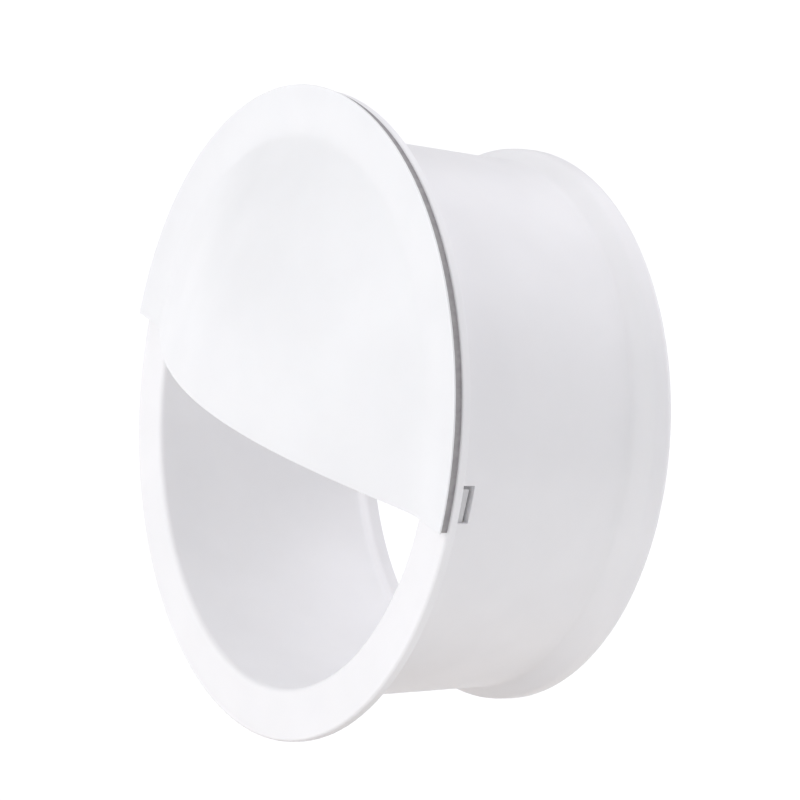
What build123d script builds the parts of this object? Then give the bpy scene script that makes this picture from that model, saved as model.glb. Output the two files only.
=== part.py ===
"""Round through-wall vent with a half-round cowl hood that snaps onto its flange.

Frame: the origin is on the vent's axis, in the plane of the wall that the flange rests on.
+Y runs along the duct, away from the viewer, and the front of the vent faces -Y.
+Z is up, so the hood covers the upper half of the opening and its mouth faces down.
Millimetres throughout. Profiles are drawn as (radius, y) and turned about the Y axis.
"""

import math
import os

from build123d import *

# Body: flange and duct
flange_radius = 60.0
flange_thickness = 1.8
flange_edge_round = 0.6
flange_rear_round = 0.2
flange_root_fillet = 1.2
duct_outer_radius = 52.5
duct_outer_radius_rear = 50.5
bore_radius = 50.2
bore_lip_round = 1.1
throat_radius = 48.35
throat_start = 36.5
throat_end = 41.5

# Body: rolled bead at the rear end, which a hose or a wall lining grips
bead_crease = 39.6
bead_radius = 52.8
bead_land_start = 44.6
bead_land_end = 46.4
rear_end = 48.1
rear_mouth_radius = 50.8
rear_mouth_start = 46.0
rear_lip_round = 0.25

# Hood: half a flange with a shallow dome over the bore
hood_radius = 60.6
hood_thickness = 1.86
hood_edge_round = 0.3
dome_base_radius = 51.84
dome_height = 14.35
dome_power = 1.165
dome_profile_points = 17
seat_gap = 0.02

# Hood: locating rib that drops into the bore
rib_outer_radius = 49.6
rib_thickness = 1.4
rib_rear = 2.6
rib_root = 1.0
rib_end_angle = 13.0

# Seal in the rebate behind the hood's rim
rebate_radius = 57.4
hood_lip_thickness = 0.38
seal_outer_radius = 60.15
seal_side_gap = 0.2
seal_end_gap = 0.15
seal_trim_length = 240.0

# Snap arms at the two ends of the hood, and the windows that their hooks catch in
window_front = 3.0
window_rear = 7.4
window_low = -1.15
window_high = 5.65
window_corner_round = 0.12
window_cutter_length = 10.0
arm_inner = 47.0
arm_outer = 48.5
arm_low = -1.14
arm_high = 4.9
arm_root = -2.4
hook_face = 51.6
hook_catch_gap = 0.1
hook_end = 7.32
hook_sweep_radius = 10.06
pad_margin = 0.5
pad_root = 2.4

hood_back = -flange_thickness - seat_gap
hood_front = hood_back - hood_thickness
seal_front = hood_front + hood_lip_thickness


def turned(profile, degrees=360.0):
    """Turn a closed (radius, y) outline about the duct's axis, from +X up over +Z."""
    axis = Axis((0, 0, 0), (0, -1, 0))
    return revolve(make_face(profile), axis=axis, revolution_arc=degrees)


def window_cutter(side):
    """The slot through the duct's wall that one hook catches in. side is +1 right, -1 left."""
    depth = window_rear - window_front
    height = window_high - window_low
    middle = (
        side * duct_outer_radius,
        (window_front + window_rear) / 2,
        (window_low + window_high) / 2,
    )
    slot = Box(window_cutter_length, depth, height)
    slot = fillet(slot.edges().filter_by(Axis.X), window_corner_round)
    return Pos(*middle) * slot


def vent_body():
    """Flange, tapered duct and rear bead: one moulding, with a window at each side."""
    front = -flange_thickness
    edge = flange_radius - flange_edge_round
    rear_edge = flange_radius - flange_rear_round
    root = duct_outer_radius + flange_root_fillet
    bead_round = rear_end - bead_land_end
    draft = (duct_outer_radius_rear - duct_outer_radius, bead_crease - flange_root_fillet)
    outline = [
        Line((bore_radius + bore_lip_round, front), (edge, front)),
        CenterArc((edge, front + flange_edge_round), flange_edge_round, -90, 90),
        Line((flange_radius, front + flange_edge_round), (flange_radius, -flange_rear_round)),
        CenterArc((rear_edge, -flange_rear_round), flange_rear_round, 0, 90),
        Line((rear_edge, 0), (root, 0)),
        CenterArc((root, flange_root_fillet), flange_root_fillet, 180, 90),
        Line((duct_outer_radius, flange_root_fillet), (duct_outer_radius_rear, bead_crease)),
        Spline(
            (duct_outer_radius_rear, bead_crease),
            (bead_radius, bead_land_start),
            tangents=[draft, (0, 1)],
        ),
        Line((bead_radius, bead_land_start), (bead_radius, bead_land_end)),
        CenterArc((bead_radius - bead_round, bead_land_end), bead_round, 0, 90),
        Line((bead_radius - bead_round, rear_end), (rear_mouth_radius + rear_lip_round, rear_end)),
        CenterArc(
            (rear_mouth_radius + rear_lip_round, rear_end - rear_lip_round),
            rear_lip_round, 90, 90,
        ),
        Line((rear_mouth_radius, rear_end - rear_lip_round), (rear_mouth_radius, rear_mouth_start)),
        Spline(
            (rear_mouth_radius, rear_mouth_start),
            (throat_radius, throat_end),
            tangents=[(0, -1), (0, -1)],
        ),
        Line((throat_radius, throat_end), (throat_radius, throat_start)),
        Line((throat_radius, throat_start), (bore_radius, front + bore_lip_round)),
        CenterArc(
            (bore_radius + bore_lip_round, front + bore_lip_round),
            bore_lip_round, 180, 90,
        ),
    ]
    body = turned(outline)
    for side in (1, -1):
        body -= window_cutter(side)
    return body


def dome_y(radius):
    """Front surface of the hood: a shallow dome that fades into the flat flange."""
    inside = max(1 - (radius / dome_base_radius) ** 2, 0)
    return hood_front - dome_height * inside**dome_power


def dome_curve(offset):
    """The dome's profile from its top to its base, moved back by offset."""
    last = dome_profile_points - 1
    radii = [dome_base_radius * i / last for i in range(dome_profile_points)]
    points = [(radius, dome_y(radius) + offset) for radius in radii]
    return Spline(*points, tangents=[(1, 0), (1, 0)])


def hood_shell():
    """Half a flange and half a dome, of one thickness, with a rebate behind the rim."""
    top = dome_y(0)
    edge = hood_radius - hood_edge_round
    outline = [
        Line((0, top + hood_thickness), (0, top)),
        dome_curve(0),
        Line((dome_base_radius, hood_front), (edge, hood_front)),
        CenterArc((edge, hood_front + hood_edge_round), hood_edge_round, -90, 90),
        Line((hood_radius, hood_front + hood_edge_round), (hood_radius, seal_front)),
        Line((hood_radius, seal_front), (rebate_radius, seal_front)),
        Line((rebate_radius, seal_front), (rebate_radius, hood_back)),
        Line((rebate_radius, hood_back), (dome_base_radius, hood_back)),
        dome_curve(hood_thickness),
    ]
    return turned(outline, 180)


def locating_rib():
    """Low wall behind the dome, which drops into the bore and centres the hood."""
    inner = rib_outer_radius - rib_thickness
    front = hood_back - rib_root
    rib = Rectangle(rib_thickness, rib_rear - front, align=(Align.MIN, Align.MIN))
    rib = Pos(inner, front) * rib
    axis = Axis((0, 0, 0), (0, -1, 0))
    ring = revolve(rib, axis=axis, revolution_arc=180 - 2 * rib_end_angle)
    return Rot(0, -rib_end_angle, 0) * ring


def arm_pad(side):
    """Boss inside the hood that carries one snap arm."""
    low = (arm_inner - pad_margin, hood_back - pad_root, 0)
    high = (arm_outer + pad_margin, arm_root, arm_high)
    size = [b - a for a, b in zip(low, high)]
    pad = Pos(*low) * Box(*size, align=(Align.MIN, Align.MIN, Align.MIN))
    return pad if side > 0 else mirror(pad, about=Plane.YZ)


def cowl_hood():
    """The hood with its locating rib and the bosses of its snap arms."""
    hood = hood_shell() + locating_rib()
    for side in (1, -1):
        hood += arm_pad(side)
    return hood


def hood_seal():
    """Soft half ring between the hood's rim and the flange."""
    inner = rebate_radius + seal_side_gap
    thickness = -flange_thickness - seal_front
    section = Rectangle(seal_outer_radius - inner, thickness, align=(Align.MIN, Align.MIN))
    section = Pos(inner, seal_front) * section
    half = revolve(section, axis=Axis((0, 0, 0), (0, -1, 0)), revolution_arc=180)
    trim = Box(seal_trim_length, seal_trim_length, 2 * seal_end_gap)
    return half - trim


def snap_arm(side):
    """Springy arm that reaches back into the bore from the hood, with a hook that fills the window.

    The hook's rear face is an arc about the inner edge of the arm's root, where the arm bends,
    so the hook clears the window's rear edge all the way as it swings in.
    """
    catch = window_front + hook_catch_gap
    outer_end = arm_root + math.sqrt(hook_sweep_radius**2 - (hook_face - arm_inner) ** 2)
    sweep_end = arm_inner + math.sqrt(hook_sweep_radius**2 - (hook_end - arm_root) ** 2)
    start_angle = math.degrees(math.atan2(outer_end - arm_root, hook_face - arm_inner))
    end_angle = math.degrees(math.atan2(hook_end - arm_root, sweep_end - arm_inner))
    outline = [
        Line((arm_inner, arm_root), (arm_outer, arm_root)),
        Line((arm_outer, arm_root), (arm_outer, catch)),
        Line((arm_outer, catch), (hook_face, catch)),
        Line((hook_face, catch), (hook_face, outer_end)),
        CenterArc((arm_inner, arm_root), hook_sweep_radius, start_angle, end_angle - start_angle),
        Line((sweep_end, hook_end), (arm_inner, hook_end)),
        Line((arm_inner, hook_end), (arm_inner, arm_root)),
    ]
    arm = extrude(make_face(outline), amount=arm_high - arm_low)
    arm = Pos(0, 0, arm_low) * arm
    return arm if side > 0 else mirror(arm, about=Plane.YZ)


def main():
    os.makedirs("parts", exist_ok=True)
    nodes = {
        "vent_body": vent_body(),
        "cowl_hood": cowl_hood(),
        "hood_seal": hood_seal(),
        "snap_arm_right": snap_arm(1),
        "snap_arm_left": snap_arm(-1),
    }
    for name, shape in nodes.items():
        export_step(shape, f"parts/{name}.step")


main()
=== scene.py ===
"""Looks of the cowl vent: a white duct with a flange and bead, and a half-round hood on a grey seal.

Every piece is built here in metres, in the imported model's frame: +Y runs back along the duct,
the front faces -Y and +Z is up. Outlines are lists of (radius, y), turned about the Y axis.
"""

import math

import bmesh
import bpy
from mathutils import Matrix, Vector


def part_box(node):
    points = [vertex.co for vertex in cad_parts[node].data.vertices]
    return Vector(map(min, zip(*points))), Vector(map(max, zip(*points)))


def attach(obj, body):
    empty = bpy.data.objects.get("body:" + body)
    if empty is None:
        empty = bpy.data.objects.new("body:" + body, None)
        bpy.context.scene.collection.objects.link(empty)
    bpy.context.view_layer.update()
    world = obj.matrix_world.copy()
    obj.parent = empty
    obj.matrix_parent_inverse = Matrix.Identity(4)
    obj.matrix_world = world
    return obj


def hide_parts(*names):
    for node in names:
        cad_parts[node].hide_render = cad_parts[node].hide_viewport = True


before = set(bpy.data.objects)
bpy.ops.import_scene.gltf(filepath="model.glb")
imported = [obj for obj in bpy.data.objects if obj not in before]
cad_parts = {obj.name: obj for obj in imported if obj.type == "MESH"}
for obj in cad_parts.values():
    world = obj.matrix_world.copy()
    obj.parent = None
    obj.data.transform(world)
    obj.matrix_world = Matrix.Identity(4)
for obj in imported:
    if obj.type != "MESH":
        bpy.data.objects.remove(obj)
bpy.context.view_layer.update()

MM = 0.001

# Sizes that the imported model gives
body_low, body_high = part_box("vent_body")
arm_low, arm_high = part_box("snap_arm_right")
FLANGE_RADIUS = 60.0 * MM
FLANGE_FRONT = body_low[1]
REAR_END = body_high[1]
HOOD_RADIUS = 60.6 * MM
HOOD_THICKNESS = 1.86 * MM
HOOD_BACK = FLANGE_FRONT - 0.02 * MM
HOOD_FRONT = HOOD_BACK - HOOD_THICKNESS

# Body
EDGE_ROUND = 0.6 * MM
REAR_EDGE_ROUND = 0.2 * MM
ROOT_FILLET = 1.2 * MM
DUCT_FRONT_RADIUS = 52.5 * MM
DUCT_REAR_RADIUS = 50.5 * MM
BORE_RADIUS = 50.2 * MM
BORE_LIP = 1.1 * MM
THROAT_RADIUS = 48.35 * MM
THROAT_START = 36.5 * MM
THROAT_END = 41.5 * MM
BEAD_CREASE = 39.6 * MM
BEAD_RADIUS = 52.8 * MM
BEAD_START = 44.6 * MM
BEAD_END = 46.4 * MM
MOUTH_RADIUS = 50.8 * MM
MOUTH_START = 46.0 * MM
MOUTH_LIP = 0.25 * MM
WINDOW_FRONT = 3.0 * MM
WINDOW_REAR = 7.4 * MM
WINDOW_LOW = -1.15 * MM
WINDOW_HIGH = 5.65 * MM

# Hood
DOME_RADIUS = 51.84 * MM
DOME_HEIGHT = 14.35 * MM
DOME_POWER = 1.165
REBATE_RADIUS = 57.4 * MM
LIP_THICKNESS = 0.38 * MM
RIB_OUTER = 49.6 * MM
RIB_INNER = 48.2 * MM
RIB_REAR = 2.6 * MM
RIB_END_ANGLE = math.radians(13.0)
RIB_ROOT = 1.0 * MM
SEAL_INNER = 57.6 * MM
SEAL_OUTER = 60.15 * MM
SEAL_END_GAP = 0.15 * MM
SEAL_ROUND = 0.2 * MM
DOME_RINGS = 40
HOOD_BEVEL = 0.12 * MM

# Snap arms and the bosses that carry them
ARM_INNER, ARM_ROOT, ARM_LOW = arm_low
ARM_TIP, ARM_HIGH = arm_high[1], arm_high[2]
ARM_OUTER = 48.5 * MM
HOOK_FACE = arm_high[0]
HOOK_CATCH = 3.1 * MM
HOOK_SWEEP = 10.06 * MM
BOSS_MARGIN = 0.5 * MM
BOSS_ROOT = 2.4 * MM

SMALL_BEVEL = 0.15 * MM
WINDOW_BEVEL = 0.12 * MM
ARM_BEVEL = 0.06 * MM
TINY = 1e-6

# Camera: where it looks, from which side, and how far off
CAMERA_TARGET = Vector((10.0, 15.8, 7.0)) * MM
CAMERA_AZIMUTH = math.radians(57.07)
CAMERA_ELEVATION = math.radians(15.19)
CAMERA_ROLL = math.radians(12.2)
CAMERA_DISTANCE = 552.0 * MM
CAMERA_LENS = 135.0

# Colours and light
BODY_DARK, BODY_LIGHT = (0.87, 0.868, 0.878), (0.902, 0.9, 0.91)
HOOD_DARK, HOOD_LIGHT = (0.84, 0.845, 0.855), (0.87, 0.875, 0.885)
# The seal's darker grey towards the flange is painted shade.
SEAL_PAINTED_SHADE, SEAL_LIGHT = (0.225, 0.215, 0.225), (0.49, 0.475, 0.475)
# The snap arms' greyer white is painted shade, for the hooks sitting recessed in the windows.
ARM_SHADED_DARK, ARM_SHADED_LIGHT = (0.63, 0.63, 0.635), (0.68, 0.68, 0.685)
FLOOR_COLOUR = (0.9, 0.9, 0.9)
FLOOR_GLOW = 0.19
FLOOR_RADIUS = 12.0
FLOOR_HEIGHT = -0.3
# A painted shadow on the floor under the vent.
SHADE_COLOUR = (0.08, 0.05, 0.03)
SHADE_START = 0.11
SHADE_END = 0.24
SHADE_CENTRE = (-0.03, 0.03)
WARM_FLOOR = (0.9, 0.83, 0.75)
GLOW_START = 0.22
GLOW_END = 0.33
WORLD_COLOUR = (0.99, 0.99, 1.0)
WORLD_STRENGTH = 0.37
WIDE = math.radians(70)
NARROW = math.radians(45)
SOFTBOXES = {
    "front_softbox": ((0.0, -1.0, 0.1), 1.58, WIDE, (0.99, 0.99, 1.0)),
    "front_left_softbox": ((-0.55, -0.6, 0.58), 0.22, NARROW, (1.0, 1.0, 1.0)),
    "top_softbox": ((0.0, 0.0, 1.0), 0.72, WIDE, (1.0, 0.985, 1.045)),
    "upper_rear_softbox": ((-0.1, 0.7, 0.7), 0.92, WIDE, (1.0, 0.985, 1.045)),
    "rear_softbox": ((0.0, 1.0, 0.1), 0.38, WIDE, (1.0, 0.99, 1.02)),
    "upper_left_softbox": ((-0.7, 0.0, 0.7), 0.15, WIDE, (1.0, 1.0, 1.0)),
}


# ---------- outlines ----------

def arc(centre, radius, start, sweep, steps):
    """Points along an arc, with angles in degrees from the radius axis towards +y."""
    points = []
    for i in range(steps + 1):
        angle = math.radians(start + sweep * i / steps)
        points.append((centre[0] + radius * math.cos(angle), centre[1] + radius * math.sin(angle)))
    return points


def bend(start, end, start_way, end_way, steps):
    """Points along a smooth bend that leaves start and reaches end in the given directions."""
    span = math.dist(start, end)
    points = []
    for i in range(steps + 1):
        t = i / steps
        blend = (2 * t**3 - 3 * t**2 + 1, t**3 - 2 * t**2 + t, 3 * t**2 - 2 * t**3, t**3 - t**2)
        points.append(tuple(
            blend[0] * start[k] + blend[1] * span * start_way[k]
            + blend[2] * end[k] + blend[3] * span * end_way[k]
            for k in (0, 1)
        ))
    return points


def straight(start, end, steps):
    """Evenly spaced points from start to end."""
    return [
        tuple(start[k] + (end[k] - start[k]) * i / steps for k in (0, 1))
        for i in range(steps + 1)
    ]


def joined(*runs):
    """One outline from several runs, without the points that two runs share."""
    points = []
    for run in runs:
        for point in run:
            if not points or math.dist(point, points[-1]) > 1e-6:
                points.append(point)
    return points


def duct_outer(y):
    """Outside radius of the tapered duct at y."""
    share = (y - ROOT_FILLET) / (BEAD_CREASE - ROOT_FILLET)
    return DUCT_FRONT_RADIUS + (DUCT_REAR_RADIUS - DUCT_FRONT_RADIUS) * share


def duct_inner(y):
    """Inside radius of the tapered bore at y."""
    start = FLANGE_FRONT + BORE_LIP
    share = (y - start) / (THROAT_START - start)
    return BORE_RADIUS + (THROAT_RADIUS - BORE_RADIUS) * share


def body_outline():
    """Closed outline of the body's wall, from the front lip over the outside and back."""
    edge = FLANGE_RADIUS - EDGE_ROUND
    rear_edge = FLANGE_RADIUS - REAR_EDGE_ROUND
    root = DUCT_FRONT_RADIUS + ROOT_FILLET
    bead_round = REAR_END - BEAD_END
    taper = Vector((DUCT_REAR_RADIUS - DUCT_FRONT_RADIUS, BEAD_CREASE - ROOT_FILLET)).normalized()
    bore_start = FLANGE_FRONT + BORE_LIP
    mouth_edge = MOUTH_RADIUS + MOUTH_LIP
    outside = [
        straight((BORE_RADIUS + BORE_LIP, FLANGE_FRONT), (edge, FLANGE_FRONT), 6),
        arc((edge, FLANGE_FRONT + EDGE_ROUND), EDGE_ROUND, -90, 90, 6),
        arc((rear_edge, -REAR_EDGE_ROUND), REAR_EDGE_ROUND, 0, 90, 4),
        straight((rear_edge, 0), (root, 0), 5),
        arc((root, ROOT_FILLET), ROOT_FILLET, -90, -90, 6),
        straight((duct_outer(ROOT_FILLET), ROOT_FILLET), (duct_outer(WINDOW_FRONT), WINDOW_FRONT), 1),
        straight((duct_outer(WINDOW_FRONT), WINDOW_FRONT), (duct_outer(WINDOW_REAR), WINDOW_REAR), 4),
        straight((duct_outer(WINDOW_REAR), WINDOW_REAR), (DUCT_REAR_RADIUS, BEAD_CREASE), 20),
        bend((DUCT_REAR_RADIUS, BEAD_CREASE), (BEAD_RADIUS, BEAD_START), taper, (0, 1), 14),
        straight((BEAD_RADIUS, BEAD_START), (BEAD_RADIUS, BEAD_END), 3),
        arc((BEAD_RADIUS - bead_round, BEAD_END), bead_round, 0, 90, 10),
    ]
    inside = [
        arc((mouth_edge, REAR_END - MOUTH_LIP), MOUTH_LIP, 90, 90, 4),
        straight((MOUTH_RADIUS, REAR_END - MOUTH_LIP), (MOUTH_RADIUS, MOUTH_START), 3),
        bend((MOUTH_RADIUS, MOUTH_START), (THROAT_RADIUS, THROAT_END), (0, -1), (0, -1), 14),
        straight((THROAT_RADIUS, THROAT_END), (THROAT_RADIUS, THROAT_START), 3),
        straight((THROAT_RADIUS, THROAT_START), (duct_inner(WINDOW_REAR), WINDOW_REAR), 18),
        straight((duct_inner(WINDOW_REAR), WINDOW_REAR), (duct_inner(WINDOW_FRONT), WINDOW_FRONT), 4),
        straight((duct_inner(WINDOW_FRONT), WINDOW_FRONT), (BORE_RADIUS, bore_start), 1),
        arc((BORE_RADIUS + BORE_LIP, bore_start), BORE_LIP, 180, 90, 12),
    ]
    points = joined(*outside, *inside)
    return points[:-1] if math.dist(points[0], points[-1]) < 1e-6 else points


def dome_y(radius):
    """Front surface of the hood at a distance from the duct's axis."""
    inside = max(1 - (radius / DOME_RADIUS) ** 2, 0)
    return HOOD_FRONT - DOME_HEIGHT * inside**DOME_POWER


# ---------- meshes ----------

def new_object(name, mesh):
    """A mesh object in the scene, smooth shaded."""
    obj = bpy.data.objects.new(name, mesh)
    bpy.context.collection.objects.link(obj)
    for polygon in mesh.polygons:
        polygon.use_smooth = True
    return obj


def from_bmesh(name, bm):
    """Turns a bmesh into an object, with its faces pointing outwards."""
    bmesh.ops.recalc_face_normals(bm, faces=bm.faces)
    mesh = bpy.data.meshes.new(name)
    bm.to_mesh(mesh)
    bm.free()
    return new_object(name, mesh)


def soften_edges(obj, width, angle, segments=3):
    """Rounds the edges sharper than angle, then evens the shading of the flats beside them."""
    bevel = obj.modifiers.new("rounded_edges", "BEVEL")
    bevel.width = width
    bevel.segments = segments
    bevel.limit_method = "ANGLE"
    bevel.angle_limit = math.radians(angle)
    bevel.use_clamp_overlap = False
    bevel.miter_outer = "MITER_ARC"
    weighted = obj.modifiers.new("even_shading", "WEIGHTED_NORMAL")
    weighted.keep_sharp = False
    weighted.weight = 80
    apply_modifiers(obj)


def apply_modifiers(obj):
    """Replaces the object's mesh with the result of its modifiers."""
    depsgraph = bpy.context.evaluated_depsgraph_get()
    mesh = bpy.data.meshes.new_from_object(obj.evaluated_get(depsgraph))
    obj.modifiers.clear()
    obj.data = mesh


def extruded(name, outline, low, high):
    """A straight piece with an (x, y) outline, from low to high in z."""
    bm = bmesh.new()
    ends = [[bm.verts.new((x, y, z)) for x, y in outline] for z in (low, high)]
    for end in ends:
        bm.faces.new(end)
    for i in range(len(outline)):
        j = (i + 1) % len(outline)
        bm.faces.new((ends[0][i], ends[0][j], ends[1][j], ends[1][i]))
    return from_bmesh(name, bm)


def turned_strip(name, outline, start, end, steps):
    """A closed (radius, y) section turned from angle start to end, with flat ends."""
    bm = bmesh.new()
    columns = []
    for k in range(steps + 1):
        turn = start + (end - start) * k / steps
        ring = [bm.verts.new((r * math.cos(turn), y, r * math.sin(turn))) for r, y in outline]
        columns.append(ring)
    rows = len(outline)
    for a, b in zip(columns, columns[1:]):
        for i in range(rows):
            j = (i + 1) % rows
            bm.faces.new((a[i], b[i], b[j], a[j]))
    for ring in (columns[0], columns[-1]):
        bm.faces.new(ring)
    return from_bmesh(name, bm)


def mirrored(obj, name):
    """A copy of the object on the other side of the plane x = 0."""
    copy = obj.copy()
    copy.data = obj.data.copy()
    copy.name = name
    copy.data.name = name
    copy.data.transform(Matrix.Scale(-1, 4, (1, 0, 0)))
    copy.data.flip_normals()
    bpy.context.collection.objects.link(copy)
    return copy


# ---------- the body ----------

def body_columns():
    """Grid lines round the duct: an angle in degrees, and a height where one follows a window's edge."""
    step = 2.5
    clear = 1.0
    columns = [(i * step, None) for i in range(int(360 / step))]
    for height in (WINDOW_LOW, WINDOW_HIGH):
        edge = math.degrees(math.asin(height / DUCT_FRONT_RADIUS))
        for angle in (edge % 360, 180 - edge):
            columns = [c for c in columns if c[1] is not None or abs(c[0] - angle) > clear]
            columns.append((angle, height))
    return sorted(columns)


def column_point(column, radius, y):
    """Where a grid line of the body stands at a radius. A line on a window's edge keeps its height."""
    angle, height = column
    turn = math.radians(angle)
    if height is None:
        return Vector((radius * math.cos(turn), y, radius * math.sin(turn)))
    across = math.sqrt(radius**2 - height**2)
    return Vector((math.copysign(across, math.cos(turn)), y, height))


def window_rows(outline, wall):
    """The rows of the outline beside the windows, on the side of the wall whose radius is wall(y)."""
    return [
        i for i, (radius, y) in enumerate(outline)
        if WINDOW_FRONT - TINY <= y <= WINDOW_REAR + TINY and abs(radius - wall(y)) < TINY
    ]


def window_columns(columns, side):
    """The grid lines that cross one window, from its low edge to its high edge."""
    heights = {}
    for k, column in enumerate(columns):
        point = column_point(column, DUCT_FRONT_RADIUS, 0)
        if side * point.x > 0 and WINDOW_LOW - TINY <= point.z <= WINDOW_HIGH + TINY:
            heights[k] = point.z
    return sorted(heights, key=heights.get)


def build_body():
    """Flange, duct and bead as one turned wall, with a window at each side."""
    outline = body_outline()
    columns = body_columns()
    outer = window_rows(outline, duct_outer)
    inner = sorted(window_rows(outline, duct_inner), key=lambda i: outline[i][1])
    outer.sort(key=lambda i: outline[i][1])
    windows = [window_columns(columns, side) for side in (1, -1)]
    bm = bmesh.new()
    grid = [[bm.verts.new(column_point(c, r, y)) for r, y in outline] for c in columns]
    for a in range(len(columns)):
        b = (a + 1) % len(columns)
        crossed = any(a in window and b in window for window in windows)
        for i in range(len(outline)):
            j = (i + 1) % len(outline)
            open_here = crossed and any(i in rows and j in rows for rows in (outer, inner))
            if not open_here:
                bm.faces.new((grid[a][i], grid[b][i], grid[b][j], grid[a][j]))
    for window in windows:
        wall_window(bm, grid, window, outer, inner)
    loose = [v for v in bm.verts if not v.link_faces]
    bmesh.ops.delete(bm, geom=loose, context="VERTS")
    body = from_bmesh("vent_body_moulding", bm)
    soften_edges(body, WINDOW_BEVEL, 50)
    return body


def wall_window(bm, grid, window, outer, inner):
    """The four walls of one window, between the duct's outside and its bore."""
    for k in (window[0], window[-1]):
        for n in range(len(outer) - 1):
            corners = (grid[k][outer[n]], grid[k][outer[n + 1]], grid[k][inner[n + 1]], grid[k][inner[n]])
            bm.faces.new(corners)
    for n in (0, -1):
        for a, b in zip(window, window[1:]):
            corners = (grid[a][outer[n]], grid[b][outer[n]], grid[b][inner[n]], grid[a][inner[n]])
            bm.faces.new(corners)


# ---------- the hood ----------

def half_ring(bm, steps, radius, y):
    """Points from +X over the top to -X."""
    ring = []
    for k in range(steps + 1):
        turn = math.pi * k / steps
        ring.append(bm.verts.new((radius * math.cos(turn), y, radius * math.sin(turn))))
    return ring


def half_disc(bm, offset):
    """Dome surface over the upper half disc: a square grid bent round, so that it has no pole.

    Ring n has four more steps than the ring inside it, which are the two corners of the square.
    """
    rings = [[bm.verts.new((0, dome_y(0) + offset, 0))]]
    for n in range(1, DOME_RINGS + 1):
        radius = DOME_RADIUS * n / DOME_RINGS
        inner = rings[-1]
        outer = half_ring(bm, 4 * n, radius, dome_y(radius) + offset)
        sides = (range(0, n - 1), range(n - 1, 3 * (n - 1)), range(3 * (n - 1), 4 * (n - 1)))
        for side, steps in enumerate(sides):
            for k in steps:
                m = k + 2 * side
                bm.faces.new((inner[k], outer[m], outer[m + 1], inner[k + 1]))
        for side, k in enumerate((n - 1, 3 * (n - 1))):
            m = k + 2 * side
            bm.faces.new((inner[k], outer[m], outer[m + 1], outer[m + 2]))
        rings.append(outer)
    return rings


def stitch(bm, rings):
    """Quads between half rings with the same number of steps."""
    for inner, outer in zip(rings, rings[1:]):
        for k in range(len(inner) - 1):
            bm.faces.new((inner[k], outer[k], outer[k + 1], inner[k + 1]))


def build_hood():
    """Half a flange and half a dome, of one thickness, with a rebate behind the rim for the seal."""
    bm = bmesh.new()
    front = half_disc(bm, 0)
    back = half_disc(bm, HOOD_THICKNESS)
    steps = 4 * DOME_RINGS
    seal_front = HOOD_FRONT + LIP_THICKNESS
    flat = [DOME_RADIUS + (REBATE_RADIUS - DOME_RADIUS) * share for share in (1 / 3, 2 / 3, 1)]
    rim = [(REBATE_RADIUS + HOOD_RADIUS) / 2, HOOD_RADIUS]
    front_flat = [half_ring(bm, steps, r, HOOD_FRONT) for r in flat + rim]
    back_flat = [half_ring(bm, steps, r, HOOD_BACK) for r in flat]
    rebate = [half_ring(bm, steps, r, seal_front) for r in flat[-1:] + rim]
    stitch(bm, [front[-1], *front_flat, *reversed(rebate), *reversed(back_flat), back[-1]])
    for end in (0, -1):
        pairs = list(zip(front + front_flat[:2], back + back_flat[:2]))
        for (a, b), (c, d) in zip(pairs, pairs[1:]):
            bm.faces.new((a[end], c[end], d[end], b[end]))
        step = (front_flat[1], front_flat[2], rebate[0], back_flat[2], back_flat[1])
        bm.faces.new([ring[end] for ring in step])
        for n in (0, 1):
            lip = (front_flat[2 + n], front_flat[3 + n], rebate[n + 1], rebate[n])
            bm.faces.new([ring[end] for ring in lip])
    hood = from_bmesh("cowl_hood_moulding", bm)
    soften_edges(hood, HOOD_BEVEL, 40)
    return hood


def build_rib():
    """Low wall behind the dome that drops into the bore."""
    root = HOOD_BACK - RIB_ROOT
    outline = joined(
        straight((RIB_OUTER, root), (RIB_OUTER, RIB_REAR), 3),
        straight((RIB_OUTER, RIB_REAR), (RIB_INNER, RIB_REAR), 2),
        straight((RIB_INNER, RIB_REAR), (RIB_INNER, root), 3),
        [(RIB_OUTER - (RIB_OUTER - RIB_INNER) / 2, root)],
    )
    rib = turned_strip("hood_locating_rib", outline, RIB_END_ANGLE, math.pi - RIB_END_ANGLE, 120)
    soften_edges(rib, SMALL_BEVEL, 50)
    return rib


def build_boss():
    """The block inside the hood's right end that carries a snap arm."""
    left, right = ARM_INNER - BOSS_MARGIN, ARM_OUTER + BOSS_MARGIN
    front, rear = HOOD_BACK - BOSS_ROOT, ARM_ROOT
    outline = [(left, front), (right, front), (right, rear), (left, rear)]
    boss = extruded("hood_boss_right", outline, 0, ARM_HIGH)
    soften_edges(boss, SMALL_BEVEL, 50)
    return boss


def build_arm():
    """The right snap arm: a springy strip with a hook whose rear face follows its own swing.

    The lower corner of its root is cut back to the hood's edge, so that it doesn't show below it.
    """
    start = math.degrees(math.acos((HOOK_FACE - ARM_INNER) / HOOK_SWEEP))
    end = math.degrees(math.asin((ARM_TIP - ARM_ROOT) / HOOK_SWEEP))
    outline = [
        (ARM_INNER, ARM_ROOT), (ARM_OUTER, ARM_ROOT), (ARM_OUTER, HOOK_CATCH), (HOOK_FACE, HOOK_CATCH),
    ]
    outline += arc((ARM_INNER, ARM_ROOT), HOOK_SWEEP, start, end - start, 8)
    outline.append((ARM_INNER, ARM_TIP))
    arm = extruded("snap_arm_right_moulding", outline, ARM_LOW, ARM_HIGH)
    for vertex in arm.data.vertices:
        if vertex.co.z < 0 and vertex.co.y < HOOK_CATCH - TINY:
            vertex.co.z = 0
    soften_edges(arm, ARM_BEVEL, 30)
    return arm


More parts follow.
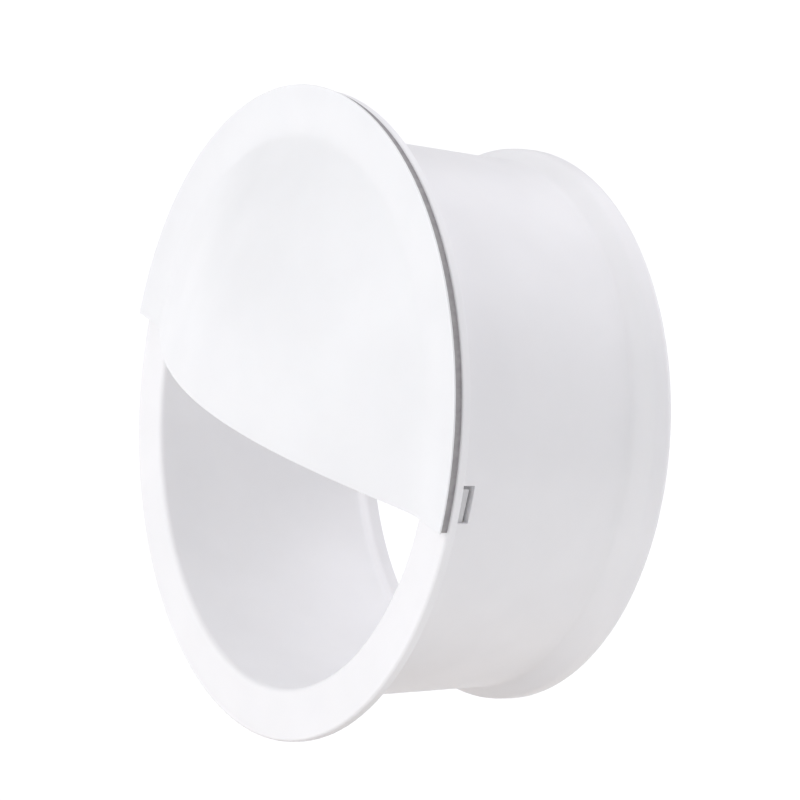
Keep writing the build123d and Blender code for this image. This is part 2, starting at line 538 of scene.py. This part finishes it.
def build_seal():
    """Foam half ring between the hood's rim and the flange."""
    front, rear = HOOD_FRONT + LIP_THICKNESS, FLANGE_FRONT
    edge = SEAL_OUTER - SEAL_ROUND
    outline = joined(
        straight((SEAL_INNER, rear), (SEAL_INNER, front), 2),
        straight((SEAL_INNER, front), (edge, front), 3),
        arc((edge, front + SEAL_ROUND), SEAL_ROUND, -90, 90, 4),
        arc((edge, rear - SEAL_ROUND), SEAL_ROUND, 0, 90, 4),
        straight((edge, rear), (SEAL_INNER, rear), 3),
    )[:-1]
    gap = SEAL_END_GAP / SEAL_OUTER
    return turned_strip("hood_seal_strip", outline, gap, math.pi - gap, 240)


# ---------- materials ----------

def material(name):
    """A new node material with a Principled shader: returns it, its nodes and its links."""
    made = bpy.data.materials.new(name)
    made.use_nodes = True
    return made, made.node_tree.nodes, made.node_tree.links


def noise(nodes, links, scale, detail=2.0, roughness=0.5, stretch=(1, 1, 1)):
    """Noise in the object's own space, in features per metre."""
    coordinates = nodes.new("ShaderNodeTexCoord")
    mapping = nodes.new("ShaderNodeMapping")
    mapping.inputs["Scale"].default_value = stretch
    texture = nodes.new("ShaderNodeTexNoise")
    texture.inputs["Scale"].default_value = scale
    texture.inputs["Detail"].default_value = detail
    texture.inputs["Roughness"].default_value = roughness
    links.new(coordinates.outputs["Object"], mapping.inputs["Vector"])
    links.new(mapping.outputs["Vector"], texture.inputs["Vector"])
    return texture.outputs["Fac"]


def spread(nodes, links, value, low, high, start=0.3, end=0.7):
    """Maps a value between start and end, as noise mostly is, to the range from low to high."""
    ranged = nodes.new("ShaderNodeMapRange")
    ranged.inputs["From Min"].default_value = start
    ranged.inputs["From Max"].default_value = end
    ranged.inputs["To Min"].default_value = low
    ranged.inputs["To Max"].default_value = high
    links.new(value, ranged.inputs["Value"])
    return ranged.outputs["Result"]


def tint(nodes, links, value, dark, light):
    """Mixes two colours by a value from 0 to 1. The dark one may be a socket."""
    mix = nodes.new("ShaderNodeMix")
    mix.data_type = "RGBA"
    if isinstance(dark, tuple):
        mix.inputs[6].default_value = (*dark, 1)
    else:
        links.new(dark, mix.inputs[6])
    mix.inputs[7].default_value = (*light, 1)
    links.new(value, mix.inputs[0])
    return mix.outputs[2]


def bumps(nodes, links, layers):
    """Several bump layers, each (height, distance in metres, strength), chained into one normal."""
    normal = None
    for height, distance, strength in layers:
        bump = nodes.new("ShaderNodeBump")
        bump.inputs["Distance"].default_value = distance
        bump.inputs["Strength"].default_value = strength
        links.new(height, bump.inputs["Height"])
        if normal is not None:
            links.new(normal, bump.inputs["Normal"])
        normal = bump.outputs["Normal"]
    return normal


def white_plastic(name, dark, light, roughness, grain_height, streak):
    """Moulded white plastic: fine mould grain, faint flow streaks and a little sink in the flats."""
    made, nodes, links = material(name)
    shader = nodes["Principled BSDF"]
    cloud = noise(nodes, links, 60, 3)
    grain = noise(nodes, links, 5200, 2, 0.6)
    flow = noise(nodes, links, 120, 2, 0.5, streak)
    sink = noise(nodes, links, 45, 1)
    tone = tint(nodes, links, spread(nodes, links, cloud, 0, 1), dark, light)
    links.new(tone, shader.inputs["Base Color"])
    links.new(spread(nodes, links, flow, *roughness), shader.inputs["Roughness"])
    layers = [(sink, 0.04 * MM, 0.5), (flow, 0.01 * MM, 0.5), (grain, grain_height, 0.5)]
    links.new(bumps(nodes, links, layers), shader.inputs["Normal"])
    shader.inputs["IOR"].default_value = 1.5
    shader.inputs["Subsurface Weight"].default_value = 0.08
    shader.inputs["Subsurface Radius"].default_value = (1.2 * MM, 1.1 * MM, 1.0 * MM)
    shader.inputs["Subsurface Scale"].default_value = 1.0
    return made


def grey_foam(name):
    """Closed-cell foam rubber: matt grey with open cells, and painted shade that darkens it towards the
    flange.
    """
    made, nodes, links = material(name)
    shader = nodes["Principled BSDF"]
    cells = nodes.new("ShaderNodeTexVoronoi")
    cells.inputs["Scale"].default_value = 2600
    coordinates = nodes.new("ShaderNodeTexCoord")
    links.new(coordinates.outputs["Object"], cells.inputs["Vector"])
    axes = nodes.new("ShaderNodeSeparateXYZ")
    links.new(coordinates.outputs["Object"], axes.inputs[0])
    # Painted shade: the seal darkens from the hood's lip back to the flange.
    flange_shade = spread(nodes, links, axes.outputs["Y"], 0, 1, HOOD_FRONT + LIP_THICKNESS, FLANGE_FRONT)
    mottle = noise(nodes, links, 900, 2)
    shade = nodes.new("ShaderNodeMath")
    shade.operation = "MULTIPLY_ADD"
    links.new(flange_shade, shade.inputs[0])
    shade.inputs[1].default_value = 0.75
    links.new(spread(nodes, links, mottle, 0, 0.25), shade.inputs[2])
    links.new(tint(nodes, links, shade.outputs[0], SEAL_LIGHT, SEAL_PAINTED_SHADE), shader.inputs["Base Color"])
    links.new(spread(nodes, links, mottle, 0.78, 0.92), shader.inputs["Roughness"])
    layers = [(cells.outputs["Distance"], 0.08 * MM, 0.6), (mottle, 0.05 * MM, 0.4)]
    links.new(bumps(nodes, links, layers), shader.inputs["Normal"])
    return made


def wear(piece, made):
    """Gives a piece its one material."""
    piece.data.materials.clear()
    piece.data.materials.append(made)


# ---------- stage ----------

def build_lights():
    """Broad softboxes, each given by its direction, its strength, its width and its colour."""
    for name, (way, strength, width, colour) in SOFTBOXES.items():
        data = bpy.data.lights.new(name, "SUN")
        data.energy = strength
        data.angle = width
        data.color = colour
        light = bpy.data.objects.new(name, data)
        light.rotation_mode = "QUATERNION"
        light.rotation_quaternion = (-Vector(way)).to_track_quat("-Z", "Y")
        bpy.context.collection.objects.link(light)


def build_camera():
    """The camera, placed by its direction from the target and then rolled."""
    flat = math.cos(CAMERA_ELEVATION)
    back = Vector((
        math.sin(CAMERA_AZIMUTH) * flat,
        -math.cos(CAMERA_AZIMUTH) * flat,
        math.sin(CAMERA_ELEVATION),
    ))
    data = bpy.data.cameras.new("camera")
    data.lens = CAMERA_LENS
    data.sensor_width = 36.0
    data.clip_start = 0.01
    camera = bpy.data.objects.new("camera", data)
    bpy.context.collection.objects.link(camera)
    camera.location = CAMERA_TARGET + back * CAMERA_DISTANCE
    camera.rotation_mode = "QUATERNION"
    camera.rotation_quaternion = (-back).to_track_quat("-Z", "Y")
    camera.rotation_quaternion @= Matrix.Rotation(CAMERA_ROLL, 3, "Z").to_quaternion()
    bpy.context.scene.camera = camera


def pale_floor():
    """The floor's material: white far off, warm nearer, a painted shadow under the vent, and glowing only
    far off.
    """
    made, nodes, links = material("pale_floor")
    shader = nodes["Principled BSDF"]
    coordinates = nodes.new("ShaderNodeTexCoord")
    distance = nodes.new("ShaderNodeVectorMath")
    distance.operation = "LENGTH"
    links.new(coordinates.outputs["Object"], distance.inputs[0])
    shade = spread(nodes, links, distance.outputs["Value"], 0, 1, SHADE_START, SHADE_END)
    glow = spread(nodes, links, distance.outputs["Value"], 0, 1, GLOW_START, GLOW_END)
    near = tint(nodes, links, shade, SHADE_COLOUR, WARM_FLOOR)
    links.new(tint(nodes, links, glow, near, FLOOR_COLOUR), shader.inputs["Base Color"])
    links.new(tint(nodes, links, glow, (0, 0, 0), (1, 1, 1)), shader.inputs["Emission Color"])
    shader.inputs["Roughness"].default_value = 0.9
    shader.inputs["Specular IOR Level"].default_value = 0.1
    shader.inputs["Emission Strength"].default_value = FLOOR_GLOW
    return made


def build_floor():
    """A wide pale floor below the vent."""
    bm = bmesh.new()
    bmesh.ops.create_circle(bm, cap_ends=True, segments=96, radius=FLOOR_RADIUS)
    mesh = bpy.data.meshes.new("floor")
    bm.to_mesh(mesh)
    bm.free()
    floor = bpy.data.objects.new("floor", mesh)
    bpy.context.collection.objects.link(floor)
    floor.location = (*SHADE_CENTRE, FLOOR_HEIGHT)
    wear(floor, pale_floor())


def build_world():
    """Even pale light from all round."""
    world = bpy.data.worlds.new("studio")
    world.use_nodes = True
    background = world.node_tree.nodes["Background"]
    background.inputs["Color"].default_value = (*WORLD_COLOUR, 1)
    background.inputs["Strength"].default_value = WORLD_STRENGTH
    bpy.context.scene.world = world
    bpy.context.scene.view_settings.view_transform = "Standard"


def main():
    body = build_body()
    hood = build_hood()
    rib = build_rib()
    boss_right = build_boss()
    boss_left = mirrored(boss_right, "hood_boss_left")
    arm_right = build_arm()
    arm_left = mirrored(arm_right, "snap_arm_left_moulding")
    seal = build_seal()

    along_duct, along_height = (1, 0.15, 1), (1, 1, 0.2)
    body_plastic = white_plastic("white_body", BODY_DARK, BODY_LIGHT, (0.36, 0.46), 0.012 * MM, along_duct)
    hood_plastic = white_plastic("white_hood", HOOD_DARK, HOOD_LIGHT, (0.3, 0.4), 0.008 * MM, along_height)
    # The arms wear a greyer copy of the hood plastic: painted shade for the hooks in the windows.
    arm_shaded_plastic = white_plastic("arm_painted_shade", ARM_SHADED_DARK, ARM_SHADED_LIGHT, (0.45, 0.6), 0.008 * MM, along_height)
    foam = grey_foam("grey_seal")

    wear(body, body_plastic)
    for piece in (hood, rib, boss_right, boss_left):
        wear(piece, hood_plastic)
    for piece in (arm_right, arm_left):
        wear(piece, arm_shaded_plastic)
    wear(seal, foam)

    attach(body, "body")
    for piece in (hood, rib, boss_right, boss_left, seal):
        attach(piece, "hood")
    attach(arm_right, "hook_right")
    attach(arm_left, "hook_left")
    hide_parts("vent_body")
    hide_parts("cowl_hood")
    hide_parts("hood_seal")
    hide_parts("snap_arm_right")
    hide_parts("snap_arm_left")

    build_floor()
    build_world()
    build_lights()
    build_camera()


main()
